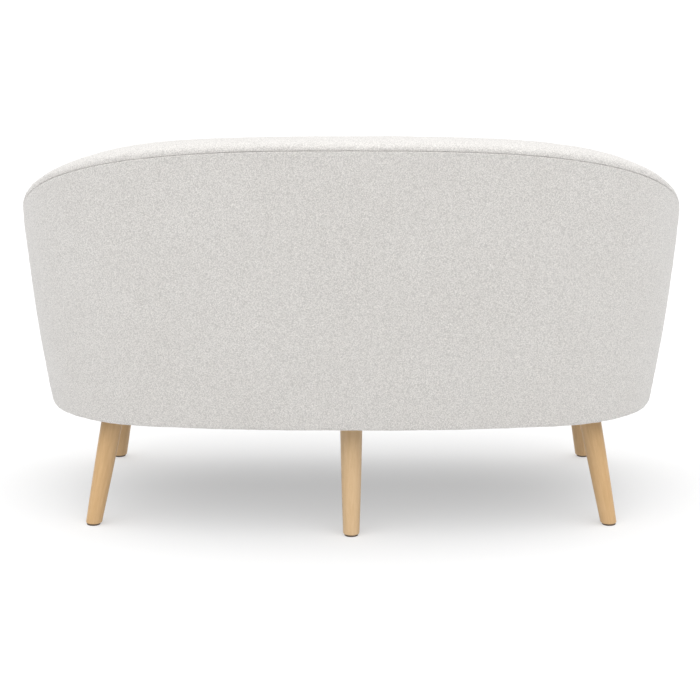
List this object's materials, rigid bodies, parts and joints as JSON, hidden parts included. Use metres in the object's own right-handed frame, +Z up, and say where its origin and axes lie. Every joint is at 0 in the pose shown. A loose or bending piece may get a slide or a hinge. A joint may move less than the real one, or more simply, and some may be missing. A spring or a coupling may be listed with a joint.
{
  "type": "loveseat",
  "caption": "Tub loveseat in looped off-white cloth: one curved wall makes its back and arms, with a padded rim, a loose seat cushion and splayed wooden legs.",
  "frame": {"origin": "on the floor, under the middle of the whole object's box", "axes": "+X to the sitter's left along the width, +Y to the back, +Z up; the front faces -Y"},
  "size_m": [1.3108, 0.7001, 0.7936],
  "materials": {
    "boucle_fabric": "looped pile, matt, off-white",
    "foam": "open-cell upholstery foam",
    "fibreboard": "thin bent fibreboard, raw",
    "frame_timber": "sawn pine and plywood, raw",
    "leg_wood": "turned beech, clear satin lacquer",
    "spring_steel": "oiled wire",
    "zinc_steel": "zinc plated",
    "glide_felt": "pressed brown felt",
    "webbing": "woven black polypropylene",
    "dust_cloth": "thin non-woven black cloth"
  },
  "bodies": {
    "sofa": {"arm_post_left": "frame_timber", "arm_post_right": "frame_timber", "arm_rail_left": "frame_timber", "arm_rail_right": "frame_timber", "back_foam": "foam", "back_post_centre": "frame_timber", "back_post_left": "frame_timber", "back_post_right": "frame_timber", "back_webbing_lower": "webbing", "back_webbing_middle": "webbing", "back_webbing_upper": "webbing", "centre_rail": "frame_timber", "dust_cover": "dust_cloth", "front_apron": "boucle_fabric", "front_rail": "frame_timber", "glide_front_left": "glide_felt", "glide_front_right": "glide_felt", "glide_rear_centre": "glide_felt", "glide_rear_left": "glide_felt", "glide_rear_right": "glide_felt", "hanger_bolt_front_left": "zinc_steel", "hanger_bolt_front_right": "zinc_steel", "hanger_bolt_rear_centre": "zinc_steel", "hanger_bolt_rear_left": "zinc_steel", "hanger_bolt_rear_right": "zinc_steel", "inner_cover": "boucle_fabric", "leg_block_front_left": "frame_timber", "leg_block_front_right": "frame_timber", "leg_block_rear_centre": "frame_timber", "leg_block_rear_left": "frame_timber", "leg_block_rear_right": "frame_timber", "leg_front_left": "leg_wood", "leg_front_right": "leg_wood", "leg_plate_front_left": "zinc_steel", "leg_plate_front_right": "zinc_steel", "leg_plate_rear_centre": "zinc_steel", "leg_plate_rear_left": "zinc_steel", "leg_plate_rear_right": "zinc_steel", "leg_rear_centre": "leg_wood", "leg_rear_left": "leg_wood", "leg_rear_right": "leg_wood", "outer_cover": "boucle_fabric", "outer_liner": "fibreboard", "rear_rail": "frame_timber", "rim_cover": "boucle_fabric", "rim_foam": "foam", "seat_deck": "webbing", "seat_spring_1": "spring_steel", "seat_spring_2": "spring_steel", "seat_spring_3": "spring_steel", "seat_spring_4": "spring_steel", "seat_spring_5": "spring_steel", "seat_spring_6": "spring_steel", "side_rail_left": "frame_timber", "side_rail_right": "frame_timber", "top_rail_back": "frame_timber"},
    "seat_cushion": {"cushion_cover": "boucle_fabric", "cushion_foam": "foam"}
  },
  "joints": [
    {"name": "cushion_lift", "type": "slide", "parent": "sofa", "child": "seat_cushion", "axis": [0, 0, 1], "range_m": [0, 0.3]}
  ]
}
